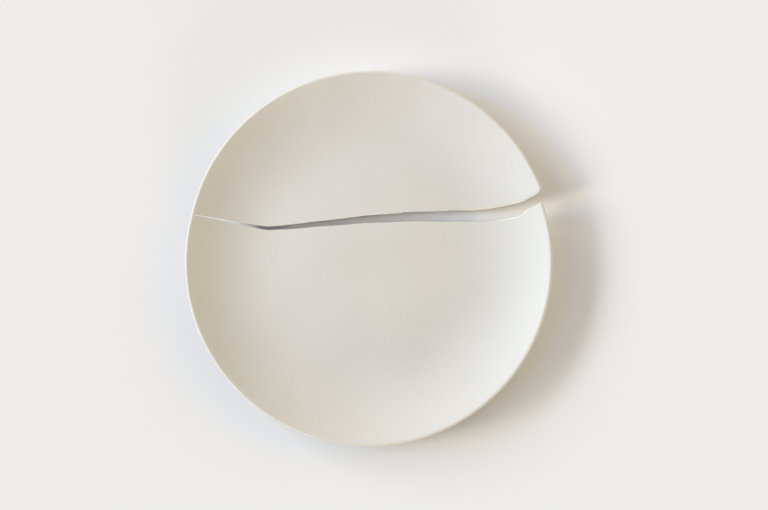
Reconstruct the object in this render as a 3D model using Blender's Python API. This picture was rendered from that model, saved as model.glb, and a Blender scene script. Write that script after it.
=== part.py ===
"""A glazed stoneware dinner plate, broken in two.

The plate is a coupe: one wide floor, gently crowned in its middle, that sweeps up
to a rounded lip and stands on a foot ring. It broke along one line across the
floor. The two pieces still meet at the left end of the break, and the small piece
is swung open about that end, so the gap widens to the right.

Metres, +Z up. The origin is under the middle of the pair, on the surface that both
foot rings stand on. X runs along the break and +Y points to the small piece.
"""

import math

import bmesh
import bpy
from mathutils import Matrix, Vector

# The turned plate
RIM_RADIUS = 0.135
LIP_RADIUS = 0.0015
BASE_THICKNESS = 0.0050
FOOT_HEIGHT = 0.0040
FOOT_OUTER_RADIUS = 0.0900
FOOT_INNER_RADIUS = 0.0845
FOOT_EDGE = 0.0007
FLOOR_HEIGHT = FOOT_HEIGHT + BASE_THICKNESS
CROWN_HEIGHT = 0.0028
CROWN_RADIUS = 0.080
WALL_START_RADIUS = 0.078
WALL_RISE = 0.0170
WALL_POWER = 2.1
PLATE_STEPS = 120
WALL_STATIONS = 9
LIP_STATIONS = 6
FLOOR_RINGS = (0.020, 0.038, 0.053, 0.067)

# The break, as it runs across the plate from its left rim to its right rim
BREAK_ROUTE = (
    (-0.1450, 0.0368),
    (-0.1283, 0.0347),
    (-0.1120, 0.0315),
    (-0.0950, 0.0278),
    (-0.0800, 0.0247),
    (-0.0752, 0.0239),
    (-0.0700, 0.0241),
    (-0.0470, 0.0256),
    (-0.0114, 0.0283),
    (0.0245, 0.0302),
    (0.0600, 0.0303),
    (0.0780, 0.0299),
    (0.0960, 0.0315),
    (0.1100, 0.0336),
    (0.1140, 0.0347),
    (0.1220, 0.0390),
    (0.1290, 0.0433),
    (0.1400, 0.0502),
)
BREAK_STEPS = 110
BREAK_LEVELS = 5
BREAK_REACH = 0.030
BREAK_RIPPLE = 0.00035
RIPPLE_LENGTH = 0.037
RIPPLE_TWIST = 0.4

# The right ends of the two halves: the small one's tip is chipped off, the large one's is a sharp spur
TIP_CHIP_REACH = 0.0045
TIP_CHIP_DEPTH = 0.0028
SPUR_START_RADIUS = 0.1155
SPUR_RUN = 0.0080
SPUR_REACH = 0.0024

# How the small piece lies: swung open about the left end of the break
OPEN_ANGLE = math.radians(2.3)
OPEN_PIVOT = Vector((-0.1326, 0.0344, 0.0))
TOUCH_GAP = 0.0002

CUTTER_DEPTH = 0.300
SHARP_EDGE_ANGLE = math.radians(40)
MERGE_DISTANCE = 1e-7
SLOPE_STEP = 1e-5
BACK_SEARCH_STEPS = 30
GLAZE_COLOUR = (0.680, 0.672, 0.610, 1.0)
GLAZE_ROUGHNESS = 0.42


def crown(radius):
    """Height of the floor's crown above the flat floor."""
    share = min(radius / CROWN_RADIUS, 1.0)
    return CROWN_HEIGHT * (1.0 - share**3) ** 2


def wall(radius):
    """Height of the upswept wall above the flat floor."""
    run = max(radius - WALL_START_RADIUS, 0.0) / (RIM_RADIUS - WALL_START_RADIUS)
    return WALL_RISE * run**WALL_POWER


def face_height(radius):
    """Height of the eating surface above the table."""
    return FLOOR_HEIGHT + crown(radius) + wall(radius)


def face_angle(radius):
    """Angle that the eating surface rises at, going outwards."""
    rise = face_height(radius + SLOPE_STEP) - face_height(radius - SLOPE_STEP)
    return math.atan2(rise, 2 * SLOPE_STEP)


LIP_ANGLE = face_angle(RIM_RADIUS - LIP_RADIUS)
WALL_END_RADIUS = RIM_RADIUS - LIP_RADIUS * (1.0 + math.sin(LIP_ANGLE))


def wall_thickness(radius):
    """The wall thins evenly from the base to the lip."""
    share = (radius - WALL_START_RADIUS) / (WALL_END_RADIUS - WALL_START_RADIUS)
    share = min(max(share, 0.0), 1.0)
    return BASE_THICKNESS + share * (2 * LIP_RADIUS - BASE_THICKNESS)


def back_point(radius):
    """The point of the back that lies under the eating surface at this radius."""
    angle = face_angle(radius)
    thick = wall_thickness(radius)
    return radius + thick * math.sin(angle), face_height(radius) - thick * math.cos(angle)


def back_height(radius):
    """Height of the back above the table, leaving out the foot ring."""
    if radius < WALL_START_RADIUS:
        return FOOT_HEIGHT + crown(radius)
    low, high = WALL_START_RADIUS - BASE_THICKNESS, WALL_END_RADIUS
    for _ in range(BACK_SEARCH_STEPS):
        middle = (low + high) / 2
        if back_point(middle)[0] < radius:
            low = middle
        else:
            high = middle
    return back_point(low)[1]


def spaced(start, end, count):
    """count numbers from start to end, both included."""
    return [start + (end - start) * i / (count - 1) for i in range(count)]


def plate_section():
    """Half of the plate's section as (radius, height), from the top of the axis round to its foot."""
    section = [(0.0, face_height(0.0))]
    section += [(r, face_height(r)) for r in FLOOR_RINGS]
    section += [(r, face_height(r)) for r in spaced(WALL_START_RADIUS, WALL_END_RADIUS, WALL_STATIONS)]

    lip_radius, lip_height = section[-1]
    lip_radius += LIP_RADIUS * math.sin(LIP_ANGLE)
    lip_height -= LIP_RADIUS * math.cos(LIP_ANGLE)
    for turn in spaced(0.0, math.pi, LIP_STATIONS)[1:]:
        around = math.pi / 2 + LIP_ANGLE - turn
        section.append(
            (
                lip_radius + LIP_RADIUS * math.cos(around),
                lip_height + LIP_RADIUS * math.sin(around),
            )
        )

    foot_shift = back_point(FOOT_OUTER_RADIUS)[0] - FOOT_OUTER_RADIUS
    back_radii = spaced(WALL_END_RADIUS, FOOT_OUTER_RADIUS - foot_shift, WALL_STATIONS)
    section += [back_point(r) for r in back_radii[1:]]

    section += [
        (FOOT_OUTER_RADIUS, FOOT_EDGE),
        (FOOT_OUTER_RADIUS - FOOT_EDGE, 0.0),
        (FOOT_INNER_RADIUS + FOOT_EDGE, 0.0),
        (FOOT_INNER_RADIUS, FOOT_EDGE),
        (FOOT_INNER_RADIUS - FOOT_EDGE, back_height(FOOT_INNER_RADIUS - FOOT_EDGE)),
    ]
    section += [(r, back_height(r)) for r in reversed(FLOOR_RINGS)]
    section.append((0.0, back_height(0.0)))
    return section


def turned_plate(name):
    """The whole plate as a closed mesh, turned about the Z axis."""
    bm = bmesh.new()
    points = [bm.verts.new((radius, 0.0, height)) for radius, height in plate_section()]
    edges = [bm.edges.new(pair) for pair in zip(points, points[1:])]
    bmesh.ops.spin(
        bm,
        geom=points + edges,
        axis=(0.0, 0.0, 1.0),
        cent=(0.0, 0.0, 0.0),
        angle=math.tau,
        steps=PLATE_STEPS,
        use_merge=True,
    )
    bmesh.ops.remove_doubles(bm, verts=bm.verts, dist=MERGE_DISTANCE)
    bmesh.ops.recalc_face_normals(bm, faces=bm.faces)
    mesh = bpy.data.meshes.new(name)
    bm.to_mesh(mesh)
    bm.free()
    mesh.shade_smooth()
    mesh.set_sharp_from_angle(angle=SHARP_EDGE_ANGLE)
    return mesh


def along_break(share):
    """The point of the break line at this share of its length, on a smooth curve through its route."""
    last = len(BREAK_ROUTE) - 1
    place = min(max(share, 0.0), 1.0) * last
    index = min(int(place), last - 1)
    t = place - index
    before, start, end, after = (
        Vector(BREAK_ROUTE[min(max(index + k, 0), last)]) for k in (-1, 0, 1, 2)
    )
    return 0.5 * (
        2 * start
        + (end - before) * t
        + (2 * before - 5 * start + 4 * end - after) * t**2
        + (3 * start - before - 3 * end + after) * t**3
    )


def break_offset(x, through):
    """How far the upright break face swells off its line, from 0 at the back to 1 at the eating surface."""
    ripple = math.sin(math.tau * (x / RIPPLE_LENGTH + RIPPLE_TWIST * through))
    return BREAK_RIPPLE * math.sin(math.pi * through) * ripple


def smooth_step(share):
    """0 up to share 0, 1 from share 1, and an even bend between."""
    share = min(max(share, 0.0), 1.0)
    return share * share * (3.0 - 2.0 * share)


def small_tip_chip(place):
    """How far the chip eats into the small piece beside this point of the break line."""
    start = RIM_RADIUS - TIP_CHIP_REACH
    if place.x < 0.0 or place.length < start:
        return 0.0
    return TIP_CHIP_DEPTH * ((place.length - start) / TIP_CHIP_REACH) ** 2


def large_tip_spur(place):
    """How far the large piece's tip stands out past this point of the break line."""
    if place.x < 0.0:
        return 0.0
    return SPUR_REACH * smooth_step((place.length - SPUR_START_RADIUS) / SPUR_RUN)


def break_point(share, level, tip_shift):
    """A point of the break face: along the break, and from below the plate to above it."""
    place = along_break(share)
    radius = min(place.length, WALL_END_RADIUS)
    bottom, top = back_height(radius), face_height(radius)
    through = min(max(level, 0.0), 1.0)
    height = bottom + (top - bottom) * through
    height += BREAK_REACH * (level - through)
    across = place.y + break_offset(place.x, through) + tip_shift(place)
    return Vector((place.x, across, height))


def break_cutter(name, towards_y, tip_shift):
    """A closed block whose one side is the break face, reaching away along Y."""
    bm = bmesh.new()
    bmesh.ops.create_grid(bm, x_segments=BREAK_STEPS, y_segments=BREAK_LEVELS + 1, size=1.0)
    for vert in bm.verts:
        row = round((vert.co.y + 1.0) / 2.0 * (BREAK_LEVELS + 1))
        level = (row - 1) / (BREAK_LEVELS - 1)
        if row in (0, BREAK_LEVELS + 1):
            level = -1.0 if row == 0 else 2.0
        vert.co = break_point((vert.co.x + 1.0) / 2.0, level, tip_shift)
    made = bmesh.ops.extrude_face_region(bm, geom=bm.faces[:])
    moved = [item for item in made["geom"] if isinstance(item, bmesh.types.BMVert)]
    bmesh.ops.translate(bm, verts=moved, vec=(0.0, CUTTER_DEPTH * towards_y, 0.0))
    bmesh.ops.recalc_face_normals(bm, faces=bm.faces)
    mesh = bpy.data.meshes.new(name)
    bm.to_mesh(mesh)
    bm.free()
    cutter = bpy.data.objects.new(name, mesh)
    cutter.hide_render = True
    cutter.display_type = "WIRE"
    return cutter


def glaze():
    """Matt ivory glaze."""
    material = bpy.data.materials.new("matt_ivory_glaze")
    material.use_nodes = True
    shader = material.node_tree.nodes["Principled BSDF"]
    shader.inputs["Base Color"].default_value = GLAZE_COLOUR
    shader.inputs["Roughness"].default_value = GLAZE_ROUGHNESS
    shader.inputs["Metallic"].default_value = 0.0
    return material


def plate_piece(name, material, away_y, placing, tip_shift):
    """One piece: the turned plate without the side of the break that away_y points to."""
    piece = bpy.data.objects.new(name, turned_plate(name))
    piece.data.materials.append(material)
    piece.matrix_world = placing
    cutter = break_cutter(f"{name}_cutter", away_y, tip_shift)
    cutter.parent = piece
    for item in (piece, cutter):
        bpy.context.scene.collection.objects.link(item)
    cut = piece.modifiers.new("break", "BOOLEAN")
    cut.operation = "DIFFERENCE"
    cut.solver = "EXACT"
    cut.object = cutter
    return piece


def main():
    for item in list(bpy.data.objects):
        bpy.data.objects.remove(item)

    swing = (
        Matrix.Translation(OPEN_PIVOT + Vector((0.0, TOUCH_GAP, 0.0)))
        @ Matrix.Rotation(OPEN_ANGLE, 4, "Z")
        @ Matrix.Translation(-OPEN_PIVOT)
    )
    large_place = Matrix.Translation((0.0, -swing.translation.y / 2, 0.0))

    material = glaze()
    plate_piece("large_piece", material, 1.0, large_place, large_tip_spur)
    plate_piece("small_piece", material, -1.0, large_place @ swing, small_tip_chip)


main()
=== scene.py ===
"""A stoneware dinner plate with a matt ivory glaze, broken in two, on a pale table.

Each half is turned on the plate's section, cut along the break by a rough cutter that
also flakes the glaze off beside it, and then laid where its CAD solid lies.
"""

import math

import bmesh
import bpy
from mathutils import Matrix, Vector, noise


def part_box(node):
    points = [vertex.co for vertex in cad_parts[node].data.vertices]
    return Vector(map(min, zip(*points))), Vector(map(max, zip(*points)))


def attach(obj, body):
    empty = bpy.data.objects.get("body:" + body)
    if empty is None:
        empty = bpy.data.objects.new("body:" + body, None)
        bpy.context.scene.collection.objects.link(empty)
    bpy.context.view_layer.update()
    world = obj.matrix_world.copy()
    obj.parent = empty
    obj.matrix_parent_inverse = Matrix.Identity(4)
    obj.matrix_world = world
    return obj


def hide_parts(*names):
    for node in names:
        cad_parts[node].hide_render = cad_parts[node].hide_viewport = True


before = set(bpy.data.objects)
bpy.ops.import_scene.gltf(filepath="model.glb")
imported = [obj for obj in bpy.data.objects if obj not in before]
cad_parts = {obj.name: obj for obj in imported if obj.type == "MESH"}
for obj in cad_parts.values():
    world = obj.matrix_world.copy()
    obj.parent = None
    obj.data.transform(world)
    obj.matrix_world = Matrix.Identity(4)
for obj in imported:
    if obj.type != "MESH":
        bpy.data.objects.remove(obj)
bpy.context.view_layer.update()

MM = 0.001

# The turned plate, with the sizes of its CAD solid
RIM_RADIUS = 0.135
LIP_RADIUS = 0.0015
BASE_THICKNESS = 0.0050
FOOT_HEIGHT = 0.0040
FOOT_OUTER_RADIUS = 0.0900
FOOT_INNER_RADIUS = 0.0845
FLOOR_HEIGHT = FOOT_HEIGHT + BASE_THICKNESS
CROWN_HEIGHT = 0.0028
CROWN_RADIUS = 0.080
WALL_START_RADIUS = 0.078
WALL_RISE = 0.0170
WALL_POWER = 2.1

# The roundings of the foot ring, whose corners are only bevelled in the CAD solid
FOOT_ROUNDING = 0.0010
FOOT_HOLLOW_ROUNDING = 0.0014

# How finely the section is drawn and turned
TURN_STEPS = 360
FLOOR_STATIONS = 22
WALL_STATIONS = 26
LIP_STATIONS = 14
CORNER_STATIONS = 6
SLOPE_STEP = 1e-5
BACK_SEARCH_STEPS = 30
MERGE_DISTANCE = 1e-7

# The break, as it runs across the plate from its left rim to its right rim
BREAK_ROUTE = (
    (-0.1450, 0.0368),
    (-0.1283, 0.0347),
    (-0.1120, 0.0315),
    (-0.0950, 0.0278),
    (-0.0800, 0.0247),
    (-0.0752, 0.0239),
    (-0.0700, 0.0241),
    (-0.0470, 0.0256),
    (-0.0114, 0.0283),
    (0.0245, 0.0302),
    (0.0600, 0.0303),
    (0.0780, 0.0299),
    (0.0960, 0.0315),
    (0.1100, 0.0336),
    (0.1140, 0.0347),
    (0.1220, 0.0390),
    (0.1290, 0.0433),
    (0.1400, 0.0502),
)

# The block that cuts along the break: its columns and rows, how much finer its route is measured, how
# far it reaches above and below the plate, and how far back from the break
BREAK_STEPS = 520
BREAK_LEVELS = 18
ROUTE_FINENESS = 4
CUTTER_OVERREACH = 0.030
CUTTER_DEPTH = 0.300

# Where faces meet more sharply than this, the edge stays crisp
SHARP_EDGE_ANGLE = math.radians(35)

# The break face swells gently off its line, in waves that lean as they rise
RIPPLE_HEIGHT = 0.00035
RIPPLE_LENGTH = 0.037
RIPPLE_TWIST = 0.4

# The right tips: the small piece's is chipped off, and the large piece's is a sharp spur
CHIP_REACH = 0.0045
CHIP_DEPTH = 0.0028
SPUR_START_RADIUS = 0.1155
SPUR_RUN = 0.0080
SPUR_REACH = 0.0024

# The crack ran from the left rim, so its face is smooth there and turns rough along this run
SMOOTH_END = -0.105
ROUGHENING_RUN = 0.050
SMOOTH_SHARE = 0.1

# The fracture's grain. A fractal is given by how fast its layers fade, how much finer each one is
# than the last, and how many there are
GRAIN_SIZE = 5.0 * MM
GRAIN_HEIGHT = 0.16 * MM
GRAIN_FRACTAL = (0.9, 2.1, 4)

# The glaze's thickness, how deep its flakes go, and its fine edge, ragged where the fracture is rough
GLAZE_DEPTH = 0.28 * MM
FLAKE_DEPTH = 0.45 * MM
RAGGED_WIDTH = 0.45 * MM
RAGGED_LENGTH = 2.4 * MM
RAGGED_MEAN = 0.6
RAGGED_FRACTAL = (0.8, 2.2, 3)

# Its larger flakes, first on the back and then on the face: where along X, how long and how wide
LARGE_FLAKES = (
    ((-0.061, 3.2 * MM, 0.9 * MM), (0.052, 2.4 * MM, 0.7 * MM), (0.101, 4.0 * MM, 1.1 * MM)),
    ((-0.0765, 1.6 * MM, 0.5 * MM), (0.018, 1.2 * MM, 0.4 * MM), (0.1045, 14.0 * MM, 0.8 * MM)),
)
SMALL_FLAKES = (
    ((-0.088, 2.6 * MM, 0.8 * MM), (0.004, 3.4 * MM, 1.0 * MM), (0.072, 2.2 * MM, 0.6 * MM)),
    ((-0.0750, 1.4 * MM, 0.45 * MM), (-0.031, 1.0 * MM, 0.35 * MM), (0.101, 84.0 * MM, 1.5 * MM)),
)
# One seed for each ragged edge, in the same order, so that no two are alike
LARGE_SEEDS = (1.3, 4.7)
SMALL_SEEDS = (7.9, 11.2)

# How the pieces lie: a hair smaller than their solids, so that they stay inside them, and the small
# piece swung open about the left end of the break, a hair clear of the large one
FIT = 0.9996
OPEN_ANGLE = math.radians(2.3)
OPEN_PIVOT = Vector((-0.1326, 0.0344, 0.0))
TOUCH_GAP = 0.0002

# Fired ceramic, whether it is the clay or the glaze
CERAMIC_IOR = 1.5

# The clay. Grog and pores run from their middle to their edge in shares of their spacing
CLAY_CLOUD = 4.0 * MM
GROG_SPACING = 0.9 * MM
GROG_MIDDLE = 0.12
GROG_EDGE = 0.22
GROG_STRENGTH = 0.4
PORE_SPACING = 2.1 * MM
PORE_MIDDLE = 0.05
PORE_EDGE = 0.10
PORE_SINK = 0.6
SAND_SIZE = 0.5 * MM
SAND_RELIEF = 0.18 * MM
CLAY_ROUGHNESS = 0.88
CLAY_GRIT = 0.7

# The glaze where the break cuts through it
CUT_GLAZE_BLUR = 0.8
CUT_GLAZE_ROUGHNESS = 0.45
CUT_GLAZE_GRIT = 0.15

# The glaze's own surface
GLAZE_CLOUD = 45.0 * MM
MOTTLE_SIZE = 2.2 * MM
MOTTLE_SHARE = 0.45
MOTTLE_LOW = 0.3
MOTTLE_HIGH = 0.7
SATIN_LOW = 0.50
SATIN_HIGH = 0.62
PEEL_SIZE = 1.6 * MM
PEEL_HEIGHT = 0.010 * MM
RING_SPACING = 1.9 * MM
RING_HEIGHT = 0.010 * MM
LIP_THIN_RADIUS = 133.2 * MM
LIP_THINNING = 0.8

# The foot, wiped clean of glaze
WIPE_LENGTH = 11.0 * MM
WIPE_WANDER = 3.2 * MM
WIPE_BLUR = 0.15 * MM
TOAST_WIDTH = 0.6 * MM
TOAST_STRENGTH = 0.7
WIPED_ROUGHNESS = 0.9

# A Mix node has its sockets once for each kind of value, under the same names, so they go by number
COLOUR_A, COLOUR_B, MIXED_COLOUR = 6, 7, 2
VALUE_A, VALUE_B, MIXED_VALUE = 2, 3, 0

# The table
TABLE_RADIUS = 3.0
TABLE_SIDES = 96
TABLE_CLEARANCE = 0.05 * MM
TABLE_ROUGHNESS = 0.9

# Each window pane's azimuth, elevation and spread in degrees, and the light that it lays on the table
WINDOW_PANES = (
    (185.0, 27.0, 18.0, (0.241, 0.224, 0.184)),
    (168.0, 30.0, 12.0, (0.061, 0.102, 0.147)),
    (146.0, 23.0, 24.0, (0.142, 0.139, 0.141)),
    (182.0, 49.0, 26.0, (0.068, 0.081, 0.111)),
)
# Each glow's azimuth and elevation in degrees, its tightness, and its colour and strength
ROOM_GLOWS = (
    (90.0, 70.0, 8.0, (0.74, 0.72, 0.85)),
    (30.0, 10.0, 3.2, (1.85, 1.55, 0.90)),
    (283.0, 8.0, 81.0, (22.5, 19.7, 16.4)),
)

# The camera: its lens and sensor in millimetres, and in metres its place and how far it sees
CAMERA_LENS = 70.3
CAMERA_SENSOR = 36.0
CAMERA_HEIGHT = 1.124
CAMERA_ASIDE = (0.0113, 0.0054)
CAMERA_SIGHT = 50.0


# ---------------------------------------------------------------- the plate's section


def crown(radius):
    """Height of the floor's crown above the flat floor, highest in the middle and smooth at its edge."""
    share = min(radius / CROWN_RADIUS, 1.0)
    return CROWN_HEIGHT * (1.0 - share**3) ** 2


def wall(radius):
    """Height of the upswept wall above the flat floor."""
    run = max(radius - WALL_START_RADIUS, 0.0) / (RIM_RADIUS - WALL_START_RADIUS)
    return WALL_RISE * run**WALL_POWER


def face_height(radius):
    """Height of the eating surface above the table."""
    return FLOOR_HEIGHT + crown(radius) + wall(radius)


def face_angle(radius):
    """Angle that the eating surface rises at, going outwards."""
    rise = face_height(radius + SLOPE_STEP) - face_height(radius - SLOPE_STEP)
    return math.atan2(rise, 2 * SLOPE_STEP)


LIP_ANGLE = face_angle(RIM_RADIUS - LIP_RADIUS)
WALL_END_RADIUS = RIM_RADIUS - LIP_RADIUS * (1.0 + math.sin(LIP_ANGLE))


def wall_thickness(radius):
    """The wall thins evenly from the base to the lip."""
    share = (radius - WALL_START_RADIUS) / (WALL_END_RADIUS - WALL_START_RADIUS)
    share = min(max(share, 0.0), 1.0)
    return BASE_THICKNESS + share * (2 * LIP_RADIUS - BASE_THICKNESS)


def back_point(radius):
    """The point of the back that lies square under the eating surface at this radius."""
    angle = face_angle(radius)
    thick = wall_thickness(radius)
    return radius + thick * math.sin(angle), face_height(radius) - thick * math.cos(angle)


def back_height(radius):
    """Height of the back above the table, leaving out the foot ring."""
    if radius < WALL_START_RADIUS:
        return FOOT_HEIGHT + crown(radius)
    low, high = WALL_START_RADIUS - BASE_THICKNESS, WALL_END_RADIUS
    for _ in range(BACK_SEARCH_STEPS):
        middle = (low + high) / 2
        if back_point(middle)[0] < radius:
            low = middle
        else:
            high = middle
    return back_point(low)[1]


def spaced(start, end, count):
    """count numbers from start to end, both included."""
    return [start + (end - start) * i / (count - 1) for i in range(count)]


def rounded(before, corner, after, radius):
    """The arc of this radius that rounds the corner between two straight runs."""
    corner = Vector(corner)
    way_in = (Vector(before) - corner).normalized()
    way_out = (Vector(after) - corner).normalized()
    half = way_in.angle(way_out) / 2
    bisector = (way_in + way_out).normalized()
    centre = corner + bisector * radius / math.sin(half)
    start = corner + way_in * radius / math.tan(half) - centre
    end = corner + way_out * radius / math.tan(half) - centre
    turns = spaced(0.0, 1.0, CORNER_STATIONS)
    return [tuple(centre + radius * start.slerp(end, share)) for share in turns]


def lip_arc(start_radius, start_height):
    """The round lip, from the end of the eating surface over to the back."""
    middle_radius = start_radius + LIP_RADIUS * math.sin(LIP_ANGLE)
    middle_height = start_height - LIP_RADIUS * math.cos(LIP_ANGLE)
    arc = []
    for turn in spaced(0.0, math.pi, LIP_STATIONS)[1:]:
        around = math.pi / 2 + LIP_ANGLE - turn
        radius = middle_radius + LIP_RADIUS * math.cos(around)
        arc.append((radius, middle_height + LIP_RADIUS * math.sin(around)))
    return arc


def plate_section():
    """Half of the plate's section as (radius, height), from the top of the axis round to its foot."""
    section = [(r, face_height(r)) for r in spaced(0.0, WALL_START_RADIUS, FLOOR_STATIONS)]
    wall_radii = spaced(WALL_START_RADIUS, WALL_END_RADIUS, WALL_STATIONS)
    section += [(r, face_height(r)) for r in wall_radii[1:]]
    section += lip_arc(*section[-1])

    foot_shift = back_point(FOOT_OUTER_RADIUS)[0] - FOOT_OUTER_RADIUS
    back_radii = spaced(WALL_END_RADIUS, FOOT_OUTER_RADIUS - foot_shift, WALL_STATIONS)
    back = [back_point(r) for r in back_radii[1:]]
    outer_top = (FOOT_OUTER_RADIUS, back[-1][1])
    outer_foot = (FOOT_OUTER_RADIUS, 0.0)
    inner_foot = (FOOT_INNER_RADIUS, 0.0)
    inner_top = (FOOT_INNER_RADIUS, back_height(WALL_START_RADIUS))
    hollow_edge = (WALL_START_RADIUS, back_height(WALL_START_RADIUS))
    section += [point for point in back if point[0] > FOOT_OUTER_RADIUS + FOOT_HOLLOW_ROUNDING]
    section += rounded(section[-1], outer_top, outer_foot, FOOT_HOLLOW_ROUNDING)
    section += rounded(outer_top, outer_foot, inner_foot, FOOT_ROUNDING)
    section += rounded(outer_foot, inner_foot, inner_top, FOOT_ROUNDING)
    section += rounded(inner_foot, inner_top, hollow_edge, FOOT_HOLLOW_ROUNDING)
    section += [(r, back_height(r)) for r in spaced(WALL_START_RADIUS, 0.0, FLOOR_STATIONS)]
    return section


def turned_plate(name):
    """The whole plate as a closed mesh, turned about the Z axis."""
    bm = bmesh.new()
    points = [bm.verts.new((radius, 0.0, height)) for radius, height in plate_section()]
    edges = [bm.edges.new(pair) for pair in zip(points, points[1:])]
    bmesh.ops.spin(
        bm,
        geom=points + edges,
        axis=(0.0, 0.0, 1.0),
        cent=(0.0, 0.0, 0.0),
        angle=math.tau,
        steps=TURN_STEPS,
        use_merge=True,
    )
    bmesh.ops.remove_doubles(bm, verts=bm.verts, dist=MERGE_DISTANCE)
    bmesh.ops.recalc_face_normals(bm, faces=bm.faces)
    mesh = bpy.data.meshes.new(name)
    bm.to_mesh(mesh)
    bm.free()
    mesh.shade_smooth()
    return mesh


# ---------------------------------------------------------------- the break


def along_break(share):
    """The point at this share of the break's route, on a smooth curve through the route's points."""
    last = len(BREAK_ROUTE) - 1
    place = min(max(share, 0.0), 1.0) * last
    index = min(int(place), last - 1)
    t = place - index
    before, start, end, after = (
        Vector(BREAK_ROUTE[min(max(index + k, 0), last)]) for k in (-1, 0, 1, 2)
    )
    # A Catmull-Rom curve
    return 0.5 * (
        2 * start
        + (end - before) * t
        + (2 * before - 5 * start + 4 * end - after) * t**2
        + (3 * start - before - 3 * end + after) * t**3
    )


def even_shares(count):
    """Shares of the route whose places lie evenly along the break."""
    fine = spaced(0.0, 1.0, ROUTE_FINENESS * count)
    places = [along_break(share) for share in fine]
    runs = [0.0]
    for a, b in zip(places, places[1:]):
        runs.append(runs[-1] + (b - a).length)
    shares = []
    at = 0
    for run in spaced(0.0, runs[-1], count):
        while at < len(runs) - 2 and runs[at + 1] < run:
            at += 1
        part = (run - runs[at]) / (runs[at + 1] - runs[at])
        shares.append(fine[at] + part * (fine[at + 1] - fine[at]))
    return shares


def break_ripple(x, through):
    """How far the break face swells off its line: not at all at the back, at 0, or at the face, at 1."""
    wave = math.sin(math.tau * (x / RIPPLE_LENGTH + RIPPLE_TWIST * through))
    return RIPPLE_HEIGHT * math.sin(math.pi * through) * wave


def fracture_grain(x, height):
    """The rough grain of the fracture, the same on both halves so that they still mate."""
    place = Vector((x, 0.0, height)) / GRAIN_SIZE
    return GRAIN_HEIGHT * noise.fractal(place, *GRAIN_FRACTAL)


def smooth_step(share):
    """0 up to share 0, 1 from share 1, and an even bend between."""
    share = min(max(share, 0.0), 1.0)
    return share * share * (3.0 - 2.0 * share)


def roughness(x):
    """How rough the fracture is here, up to 1."""
    return SMOOTH_SHARE + (1.0 - SMOOTH_SHARE) * smooth_step((x - SMOOTH_END) / ROUGHENING_RUN)


def small_tip_chip(place):
    """How far the chip eats into the small piece beside this point of the break line."""
    start = RIM_RADIUS - CHIP_REACH
    if place.x < 0.0 or place.length < start:
        return 0.0
    return CHIP_DEPTH * ((place.length - start) / CHIP_REACH) ** 2


def large_tip_spur(place):
    """How far the large piece's tip stands out past this point of the break line."""
    if place.x < 0.0:
        return 0.0
    return SPUR_REACH * smooth_step((place.length - SPUR_START_RADIUS) / SPUR_RUN)


def glaze_loss(x, seed, flakes):
    """Width of the glaze lost at this place: a fine ragged line, and the flakes in their places."""
    place = Vector((x / RAGGED_LENGTH, seed, 0.0))
    ragged = max(0.0, RAGGED_MEAN + noise.fractal(place, *RAGGED_FRACTAL))
    lost = RAGGED_WIDTH * roughness(x) * ragged
    for middle, length, width in flakes:
        across = (x - middle) / (length / 2)
        if abs(across) < 1.0:
            lost = max(lost, width * math.sqrt(1.0 - across * across))
    return lost


def break_profile(place, losses, tip_shift, inwards):
    """One column of the cutter's break face, from below the plate to above it."""
    radius = min(place.length, WALL_END_RADIUS)
    bottom, top = back_height(radius), face_height(radius)
    back_loss, face_loss = losses
    points = []
    for row in range(BREAK_LEVELS):
        # Rows crowd towards both surfaces, where the glaze and its flakes are
        through = 0.5 - 0.5 * math.cos(math.pi * row / (BREAK_LEVELS - 1))
        height = bottom + (top - bottom) * through
        below_face = max(0.0, 1.0 - (top - height) / FLAKE_DEPTH)
        above_back = max(0.0, 1.0 - (height - bottom) / FLAKE_DEPTH)
        offset = break_ripple(place.x, through) + fracture_grain(place.x, height)
        offset *= roughness(place.x)
        # A flake is a shallow shell: steep through the glaze, and nearly level in the clay under it
        offset += inwards * (face_loss * math.sqrt(below_face) + back_loss * math.sqrt(above_back))
        points.append(Vector((place.x, place.y + offset + tip_shift(place), height)))
    overreach = Vector((0.0, 0.0, CUTTER_OVERREACH))
    return [points[0] - overreach, *points, points[-1] + overreach]


def break_cutter(name, towards_y, tip_shift, flakes, seeds, material):
    """A closed block whose one side is the fracture, reaching away along Y."""
    bm = bmesh.new()
    # One more row lies below the plate, and one above it
    rows = BREAK_LEVELS + 2
    bmesh.ops.create_grid(bm, x_segments=BREAK_STEPS, y_segments=rows - 1, size=1.0)
    shares = even_shares(BREAK_STEPS + 1)
    profiles = {}
    for vert in bm.verts:
        column = round((vert.co.x + 1.0) / 2.0 * BREAK_STEPS)
        row = round((vert.co.y + 1.0) / 2.0 * (rows - 1))
        if column not in profiles:
            place = along_break(shares[column])
            losses = [glaze_loss(place.x, seed, kept) for seed, kept in zip(seeds, flakes)]
            profiles[column] = break_profile(place, losses, tip_shift, -towards_y)
        vert.co = profiles[column][row]
    made = bmesh.ops.extrude_face_region(bm, geom=bm.faces[:])
    moved = [item for item in made["geom"] if isinstance(item, bmesh.types.BMVert)]
    bmesh.ops.translate(bm, verts=moved, vec=(0.0, CUTTER_DEPTH * towards_y, 0.0))
    bmesh.ops.recalc_face_normals(bm, faces=bm.faces)
    mesh = bpy.data.meshes.new(name)
    bm.to_mesh(mesh)
    bm.free()
    mesh.shade_smooth()
    mesh.materials.append(material)
    cutter = bpy.data.objects.new(name, mesh)
    bpy.context.scene.collection.objects.link(cutter)
    return cutter


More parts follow.
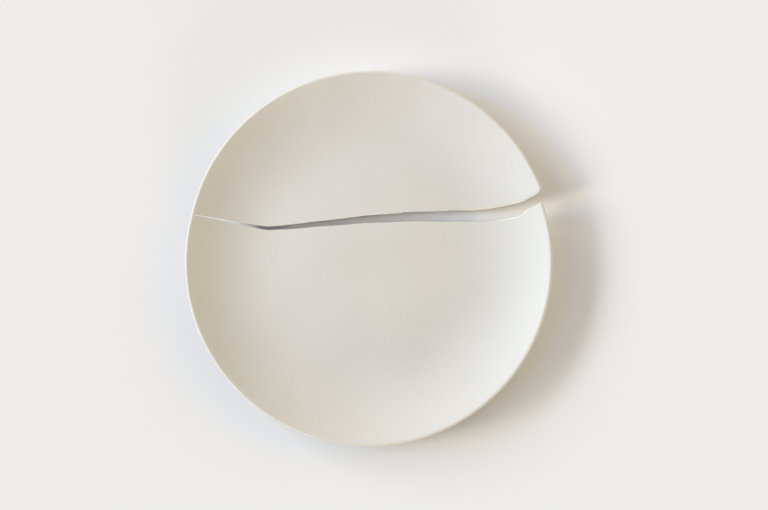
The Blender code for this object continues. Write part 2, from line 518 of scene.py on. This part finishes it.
def keep_plate_place(mesh):
    """Give each point its place on the unbroken plate, its depth below the face and under the glaze."""
    places, below_face, skin_depth = [], [], []
    for vert in mesh.vertices:
        places.extend(vert.co)
        reach = math.hypot(vert.co.x, vert.co.y)
        radius = min(reach, WALL_END_RADIUS)
        below = face_height(radius) - vert.co.z
        below_face.append(below)
        # Over the foot ring the back has no glaze, because the clay runs on down into the ring
        on_foot = FOOT_INNER_RADIUS < reach < FOOT_OUTER_RADIUS
        skin_depth.append(below if on_foot else min(below, vert.co.z - back_height(radius)))
    for name, kind, field, values in (
        ("plate_place", "FLOAT_VECTOR", "vector", places),
        ("below_face", "FLOAT", "value", below_face),
        ("skin_depth", "FLOAT", "value", skin_depth),
    ):
        mesh.attributes.new(name, kind, "POINT").data.foreach_set(field, values)


def finish_edges(mesh):
    """Keep the edge between the glaze and the fracture crisp, and the faces beside it well shaped."""
    mesh.set_sharp_from_angle(angle=SHARP_EDGE_ANGLE)
    bm = bmesh.new()
    bm.from_mesh(mesh)
    crisp = [edge for edge in bm.edges if len({face.material_index for face in edge.link_faces}) > 1]
    for edge in crisp:
        edge.smooth = False
    # The cut leaves many-sided faces here, which would part into slivers that fold flat on each other
    corners = {vert for edge in crisp for vert in edge.verts}
    beside = [face for face in bm.faces if not corners.isdisjoint(face.verts)]
    bmesh.ops.triangulate(bm, faces=beside)
    bm.to_mesh(mesh)
    bm.free()


def plate_piece(size, whole, towards_y, placing, tip_shift, flakes, seeds, fracture):
    """One half: the whole plate cut along the break, laid where its CAD solid lies."""
    plate = bpy.data.objects.new("whole_plate", whole)
    bpy.context.scene.collection.objects.link(plate)
    cutter = break_cutter("break_cutter", towards_y, tip_shift, flakes, seeds, fracture)
    cut = plate.modifiers.new("break", "BOOLEAN")
    cut.operation = "DIFFERENCE"
    cut.solver = "EXACT"
    cut.material_mode = "TRANSFER"
    cut.object = cutter
    graph = bpy.context.evaluated_depsgraph_get()
    mesh = bpy.data.meshes.new_from_object(plate.evaluated_get(graph))
    mesh.name = f"{size}_shard"
    for spent in (plate, cutter):
        bpy.data.objects.remove(spent)
    keep_plate_place(mesh)
    finish_edges(mesh)
    mesh.transform(placing)
    piece = bpy.data.objects.new(mesh.name, mesh)
    bpy.context.scene.collection.objects.link(piece)
    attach(piece, "root")
    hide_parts(f"{size}_piece")


# ---------------------------------------------------------------- materials


def colour(hex_value):
    """An sRGB hex value as a linear colour."""
    parts = [int(hex_value[i : i + 2], 16) / 255 for i in (1, 3, 5)]
    linear = [c / 12.92 if c <= 0.04045 else ((c + 0.055) / 1.055) ** 2.4 for c in parts]
    return (*linear, 1.0)


def add(tree, kind, inputs=None, **settings):
    """Add a node, with its settings, and its inputs as values or links."""
    node = tree.nodes.new(kind)
    for key, value in settings.items():
        setattr(node, key, value)
    for key, value in (inputs or {}).items():
        if isinstance(value, bpy.types.NodeSocket):
            tree.links.new(value, node.inputs[key])
        else:
            node.inputs[key].default_value = value
    return node


def ceramic(name):
    """A new ceramic material with its node tree, its shader and the place on the unbroken plate."""
    material = bpy.data.materials.new(name)
    material.use_nodes = True
    tree = material.node_tree
    shader = tree.nodes["Principled BSDF"]
    shader.inputs["IOR"].default_value = CERAMIC_IOR
    place = add(tree, "ShaderNodeAttribute", attribute_name="plate_place").outputs["Vector"]
    return material, tree, shader, place


def stoneware_body(tree, place):
    """Colour and grit of the fired clay: cream and fine, with buff grog, and small pores painted dark as
    painted shade in their hollows.
    """
    # The clay was wedged by hand, which leaves its two tones as soft clouds a few millimetres wide
    cloud = add(
        tree,
        "ShaderNodeTexNoise",
        {"Vector": place, "Scale": 1 / CLAY_CLOUD, "Detail": 4.0, "Roughness": 0.6},
    ).outputs["Fac"]
    cream = add(
        tree,
        "ShaderNodeMix",
        {"Factor": cloud, COLOUR_A: colour("#dcd7c9"), COLOUR_B: colour("#e9e4d8")},
        data_type="RGBA",
    ).outputs[MIXED_COLOUR]

    # Grog is crushed fired clay: hard buff grains just under a millimetre apart
    from_grog = add(
        tree,
        "ShaderNodeTexVoronoi",
        {"Vector": place, "Scale": 1 / GROG_SPACING, "Randomness": 1.0},
    ).outputs["Distance"]
    grog = add(
        tree,
        "ShaderNodeMapRange",
        {
            "Value": from_grog,
            "From Min": GROG_MIDDLE,
            "From Max": GROG_EDGE,
            "To Min": GROG_STRENGTH,
            "To Max": 0.0,
        },
    ).outputs["Result"]
    specked = add(
        tree,
        "ShaderNodeMix",
        {"Factor": grog, COLOUR_A: cream, COLOUR_B: colour("#c2b298")},
        data_type="RGBA",
    ).outputs[MIXED_COLOUR]

    # Gas left small round pores as the clay was fired; their darker colour is painted shade in the hollows
    from_pore = add(
        tree,
        "ShaderNodeTexVoronoi",
        {"Vector": place, "Scale": 1 / PORE_SPACING, "Randomness": 1.0},
    ).outputs["Distance"]
    pore_and_shade = add(
        tree,
        "ShaderNodeMapRange",
        {
            "Value": from_pore,
            "From Min": PORE_MIDDLE,
            "From Max": PORE_EDGE,
            "To Min": 1.0,
            "To Max": 0.0,
        },
    ).outputs["Result"]
    # Painted shade: the clay is mixed towards a dark brown inside each pore
    tint = add(
        tree,
        "ShaderNodeMix",
        {"Factor": pore_and_shade, COLOUR_A: specked, COLOUR_B: colour("#9a8c78")},
        data_type="RGBA",
    ).outputs[MIXED_COLOUR]

    # The clay's sand stands out of the surface as fine grit, and the pores are sunk into it
    sand = add(
        tree,
        "ShaderNodeTexNoise",
        {"Vector": place, "Scale": 1 / SAND_SIZE, "Detail": 5.0, "Roughness": 0.65},
    ).outputs["Fac"]
    grit = add(
        tree, "ShaderNodeMath", {0: pore_and_shade, 1: -PORE_SINK, 2: sand}, operation="MULTIPLY_ADD"
    ).outputs["Value"]
    return tint, grit


def fractured_stoneware():
    """Cream stoneware, broken across: never glazed, so it is dull and sandy, and paler than the glaze."""
    material, tree, shader, place = ceramic("fractured_cream_stoneware")
    clay, grit = stoneware_body(tree, place)

    # The glaze is a glassy coat melted on to the clay, so the break cuts it as a smooth whitish line
    depth = add(tree, "ShaderNodeAttribute", attribute_name="skin_depth").outputs["Fac"]
    coat = add(
        tree,
        "ShaderNodeMapRange",
        {
            "Value": depth,
            "From Min": CUT_GLAZE_BLUR * GLAZE_DEPTH,
            "From Max": GLAZE_DEPTH,
            "To Min": 1.0,
            "To Max": 0.0,
        },
    ).outputs["Result"]
    tint = add(
        tree,
        "ShaderNodeMix",
        {"Factor": coat, COLOUR_A: clay, COLOUR_B: colour("#efede6")},
        data_type="RGBA",
    ).outputs[MIXED_COLOUR]
    dullness = add(
        tree,
        "ShaderNodeMapRange",
        {"Value": coat, "To Min": CLAY_ROUGHNESS, "To Max": CUT_GLAZE_ROUGHNESS},
    ).outputs["Result"]
    relief = add(
        tree, "ShaderNodeMapRange", {"Value": coat, "To Min": CLAY_GRIT, "To Max": CUT_GLAZE_GRIT}
    ).outputs["Result"]
    bump = add(
        tree,
        "ShaderNodeBump",
        {"Height": grit, "Strength": relief, "Distance": SAND_RELIEF},
    ).outputs["Normal"]

    tree.links.new(tint, shader.inputs["Base Color"])
    tree.links.new(dullness, shader.inputs["Roughness"])
    tree.links.new(bump, shader.inputs["Normal"])
    return material


def matt_glaze():
    """Matt ivory glaze, dipped and fired: opaque and satin, thin at the lip, wiped off under the foot."""
    material, tree, shader, place = ceramic("matt_ivory_stoneware_glaze")
    height = add(tree, "ShaderNodeSeparateXYZ", {"Vector": place}).outputs["Z"]
    flat = add(
        tree, "ShaderNodeVectorMath", {0: place, 1: (1.0, 1.0, 0.0)}, operation="MULTIPLY"
    ).outputs["Vector"]
    radius = add(tree, "ShaderNodeVectorMath", {0: flat}, operation="LENGTH").outputs["Value"]
    below_face = add(tree, "ShaderNodeAttribute", attribute_name="below_face").outputs["Fac"]

    # The dip leaves the coat a little uneven, and its crystals give a fine mottle: two close ivory tones
    pooling = add(
        tree,
        "ShaderNodeTexNoise",
        {"Vector": place, "Scale": 1 / GLAZE_CLOUD, "Detail": 2.0, "Roughness": 0.5},
    ).outputs["Fac"]
    mottle = add(
        tree,
        "ShaderNodeTexNoise",
        {"Vector": place, "Scale": 1 / MOTTLE_SIZE, "Detail": 4.0, "Roughness": 0.6},
    ).outputs["Fac"]
    uneven = add(
        tree,
        "ShaderNodeMix",
        {"Factor": MOTTLE_SHARE, VALUE_A: pooling, VALUE_B: mottle},
        data_type="FLOAT",
    ).outputs[MIXED_VALUE]
    ivory = add(
        tree,
        "ShaderNodeMix",
        {"Factor": uneven, COLOUR_A: colour("#cccbc6"), COLOUR_B: colour("#dcdcda")},
        data_type="RGBA",
    ).outputs[MIXED_COLOUR]

    # Melted glaze runs off a sharp edge, so the cream clay shows through at the lip
    thinning = add(
        tree,
        "ShaderNodeMapRange",
        {
            "Value": radius,
            "From Min": LIP_THIN_RADIUS,
            "From Max": RIM_RADIUS,
            "To Min": 0.0,
            "To Max": LIP_THINNING,
        },
    ).outputs["Result"]
    lipped = add(
        tree,
        "ShaderNodeMix",
        {"Factor": thinning, COLOUR_A: ivory, COLOUR_B: colour("#ddd7ca")},
        data_type="RGBA",
    ).outputs[MIXED_COLOUR]

    # The foot is wiped clean before firing so that it doesn't stick: bare clay, toasted where glaze ends
    wander = add(
        tree,
        "ShaderNodeTexNoise",
        {"Vector": place, "Scale": 1 / WIPE_LENGTH, "Detail": 3.0, "Roughness": 0.6},
    ).outputs["Fac"]
    past_line = add(
        tree,
        "ShaderNodeMath",
        {0: wander, 1: -WIPE_WANDER, 2: height},
        operation="MULTIPLY_ADD",
    ).outputs["Value"]
    bare = add(
        tree,
        "ShaderNodeMapRange",
        {"Value": past_line, "From Min": 0.0, "From Max": WIPE_BLUR, "To Min": 1.0, "To Max": 0.0},
    ).outputs["Result"]
    toast = add(
        tree,
        "ShaderNodeMapRange",
        {
            "Value": past_line,
            "From Min": -TOAST_WIDTH,
            "From Max": 0.0,
            "To Min": 0.0,
            "To Max": TOAST_STRENGTH,
        },
    ).outputs["Result"]
    clay, grit = stoneware_body(tree, place)
    toasted = add(
        tree,
        "ShaderNodeMix",
        {"Factor": toast, COLOUR_A: clay, COLOUR_B: colour("#b99c77")},
        data_type="RGBA",
    ).outputs[MIXED_COLOUR]
    tint = add(
        tree,
        "ShaderNodeMix",
        {"Factor": bare, COLOUR_A: lipped, COLOUR_B: toasted},
        data_type="RGBA",
    ).outputs[MIXED_COLOUR]

    # Satin, not gloss, a little duller where the crystals are thick; the wiped foot has no sheen at all
    satin = add(
        tree,
        "ShaderNodeMapRange",
        {
            "Value": mottle,
            "From Min": MOTTLE_LOW,
            "From Max": MOTTLE_HIGH,
            "To Min": SATIN_LOW,
            "To Max": SATIN_HIGH,
        },
    ).outputs["Result"]
    dullness = add(
        tree,
        "ShaderNodeMix",
        {"Factor": bare, VALUE_A: satin, VALUE_B: WIPED_ROUGHNESS},
        data_type="FLOAT",
    ).outputs[MIXED_VALUE]

    # Relief in metres: the coat's faint orange peel, the turning tool's rings on the back, the foot's sand
    peel = add(
        tree,
        "ShaderNodeTexNoise",
        {"Vector": place, "Scale": 1 / PEEL_SIZE, "Detail": 2.0, "Roughness": 0.5},
    ).outputs["Fac"]
    skin = add(
        tree, "ShaderNodeMath", {0: peel, 1: PEEL_HEIGHT}, operation="MULTIPLY"
    ).outputs["Value"]
    turn = add(
        tree, "ShaderNodeMath", {0: radius, 1: math.tau / RING_SPACING}, operation="MULTIPLY"
    ).outputs["Value"]
    ring = add(tree, "ShaderNodeMath", {0: turn}, operation="SINE").outputs["Value"]
    on_back = add(
        tree,
        "ShaderNodeMapRange",
        {
            "Value": below_face,
            "From Min": LIP_RADIUS,
            "From Max": 2 * LIP_RADIUS,
            "To Min": 0.0,
            "To Max": RING_HEIGHT,
        },
    ).outputs["Result"]
    ringed = add(
        tree, "ShaderNodeMath", {0: ring, 1: on_back, 2: skin}, operation="MULTIPLY_ADD"
    ).outputs["Value"]
    sand = add(
        tree, "ShaderNodeMath", {0: grit, 1: SAND_RELIEF}, operation="MULTIPLY"
    ).outputs["Value"]
    relief = add(
        tree,
        "ShaderNodeMix",
        {"Factor": bare, VALUE_A: ringed, VALUE_B: sand},
        data_type="FLOAT",
    ).outputs[MIXED_VALUE]
    bump = add(
        tree, "ShaderNodeBump", {"Height": relief, "Strength": 1.0, "Distance": 1.0}
    ).outputs["Normal"]

    tree.links.new(tint, shader.inputs["Base Color"])
    tree.links.new(dullness, shader.inputs["Roughness"])
    tree.links.new(bump, shader.inputs["Normal"])
    return material


# ---------------------------------------------------------------- the studio


def table(centre):
    """A plain pale table top, wide enough for any view."""
    bm = bmesh.new()
    bmesh.ops.create_circle(bm, cap_ends=True, segments=TABLE_SIDES, radius=TABLE_RADIUS)
    bmesh.ops.translate(bm, verts=bm.verts, vec=(centre.x, centre.y, -TABLE_CLEARANCE))
    mesh = bpy.data.meshes.new("table")
    bm.to_mesh(mesh)
    bm.free()
    top = bpy.data.objects.new("table", mesh)
    bpy.context.scene.collection.objects.link(top)
    # Matt laminate, pressed flat: even and nearly white, with no sheen to mirror the plate
    material = bpy.data.materials.new("pale_matt_laminate")
    material.use_nodes = True
    shader = material.node_tree.nodes["Principled BSDF"]
    shader.inputs["Base Color"].default_value = colour("#eaebed")
    shader.inputs["Roughness"].default_value = TABLE_ROUGHNESS
    mesh.materials.append(material)


def direction(azimuth, elevation):
    """The way towards a light, turning from +X towards +Y, in degrees."""
    turn, rise = math.radians(azimuth), math.radians(elevation)
    return Vector((math.cos(rise) * math.cos(turn), math.cos(rise) * math.sin(turn), math.sin(rise)))


def window_light():
    """Daylight through a wide window low on the left, as four soft panes."""
    for azimuth, elevation, spread, laid in WINDOW_PANES:
        light = bpy.data.lights.new("window_pane", "SUN")
        light.angle = math.radians(spread)
        light.color = laid
        # A sun this strong lays its own colour on a level white table
        light.energy = math.pi / math.sin(math.radians(elevation))
        lamp = bpy.data.objects.new("window_pane", light)
        lamp.rotation_euler = direction(azimuth, elevation).to_track_quat("Z", "Y").to_euler()
        bpy.context.scene.collection.objects.link(lamp)


def room_light():
    """Light that the room gives back, from its ceiling and two of its sides, before a pale backdrop."""
    world = bpy.data.worlds.new("room")
    world.use_nodes = True
    tree = world.node_tree
    towards = add(tree, "ShaderNodeTexCoord").outputs["Generated"]
    light = (0.0, 0.0, 0.0)
    for azimuth, elevation, tightness, strength in ROOM_GLOWS:
        facing = add(
            tree,
            "ShaderNodeVectorMath",
            {0: towards, 1: direction(azimuth, elevation)},
            operation="DOT_PRODUCT",
        ).outputs["Value"]
        power = add(
            tree, "ShaderNodeMath", {0: facing, 1: tightness, 2: -tightness}, operation="MULTIPLY_ADD"
        ).outputs["Value"]
        glow = add(tree, "ShaderNodeMath", {0: power}, operation="EXPONENT").outputs["Value"]
        light = add(
            tree, "ShaderNodeVectorMath", {0: glow, 1: strength, 2: light}, operation="MULTIPLY_ADD"
        ).outputs["Vector"]
    seen = add(tree, "ShaderNodeLightPath").outputs["Is Camera Ray"]
    backdrop = add(
        tree,
        "ShaderNodeMix",
        {"Factor": seen, COLOUR_A: light, COLOUR_B: colour("#ececea")},
        data_type="RGBA",
    ).outputs[MIXED_COLOUR]
    tree.links.new(backdrop, tree.nodes["Background"].inputs["Color"])
    bpy.context.scene.world = world


def camera(centre):
    """The camera looks straight down, a little to the right of the plate's middle."""
    data = bpy.data.cameras.new("camera")
    data.lens = CAMERA_LENS
    data.sensor_width = CAMERA_SENSOR
    data.clip_end = CAMERA_SIGHT
    view = bpy.data.objects.new("camera", data)
    view.location = (centre.x + CAMERA_ASIDE[0], centre.y + CAMERA_ASIDE[1], CAMERA_HEIGHT)
    bpy.context.scene.collection.objects.link(view)
    bpy.context.scene.camera = view


def main():
    """Make the two halves, lay them on the table, light them and look down on them."""
    large_low, large_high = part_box("large_piece")
    axis = Vector(((large_low[0] + large_high[0]) / 2, large_low[1] + RIM_RADIUS * FIT, 0.0))
    laid = Matrix.Translation(axis) @ Matrix.Diagonal((FIT, FIT, FIT, 1.0))
    swing = (
        Matrix.Translation(OPEN_PIVOT + Vector((0.0, TOUCH_GAP, 0.0)))
        @ Matrix.Rotation(OPEN_ANGLE, 4, "Z")
        @ Matrix.Translation(-OPEN_PIVOT)
    )
    glaze = matt_glaze()
    fracture = fractured_stoneware()
    whole = turned_plate("whole_plate")
    whole.materials.append(glaze)
    plate_piece("large", whole, 1.0, laid, large_tip_spur, LARGE_FLAKES, LARGE_SEEDS, fracture)
    plate_piece("small", whole, -1.0, laid @ swing, small_tip_chip, SMALL_FLAKES, SMALL_SEEDS, fracture)
    table(axis)
    window_light()
    room_light()
    camera(axis)
    bpy.context.scene.view_settings.view_transform = "Standard"


main()
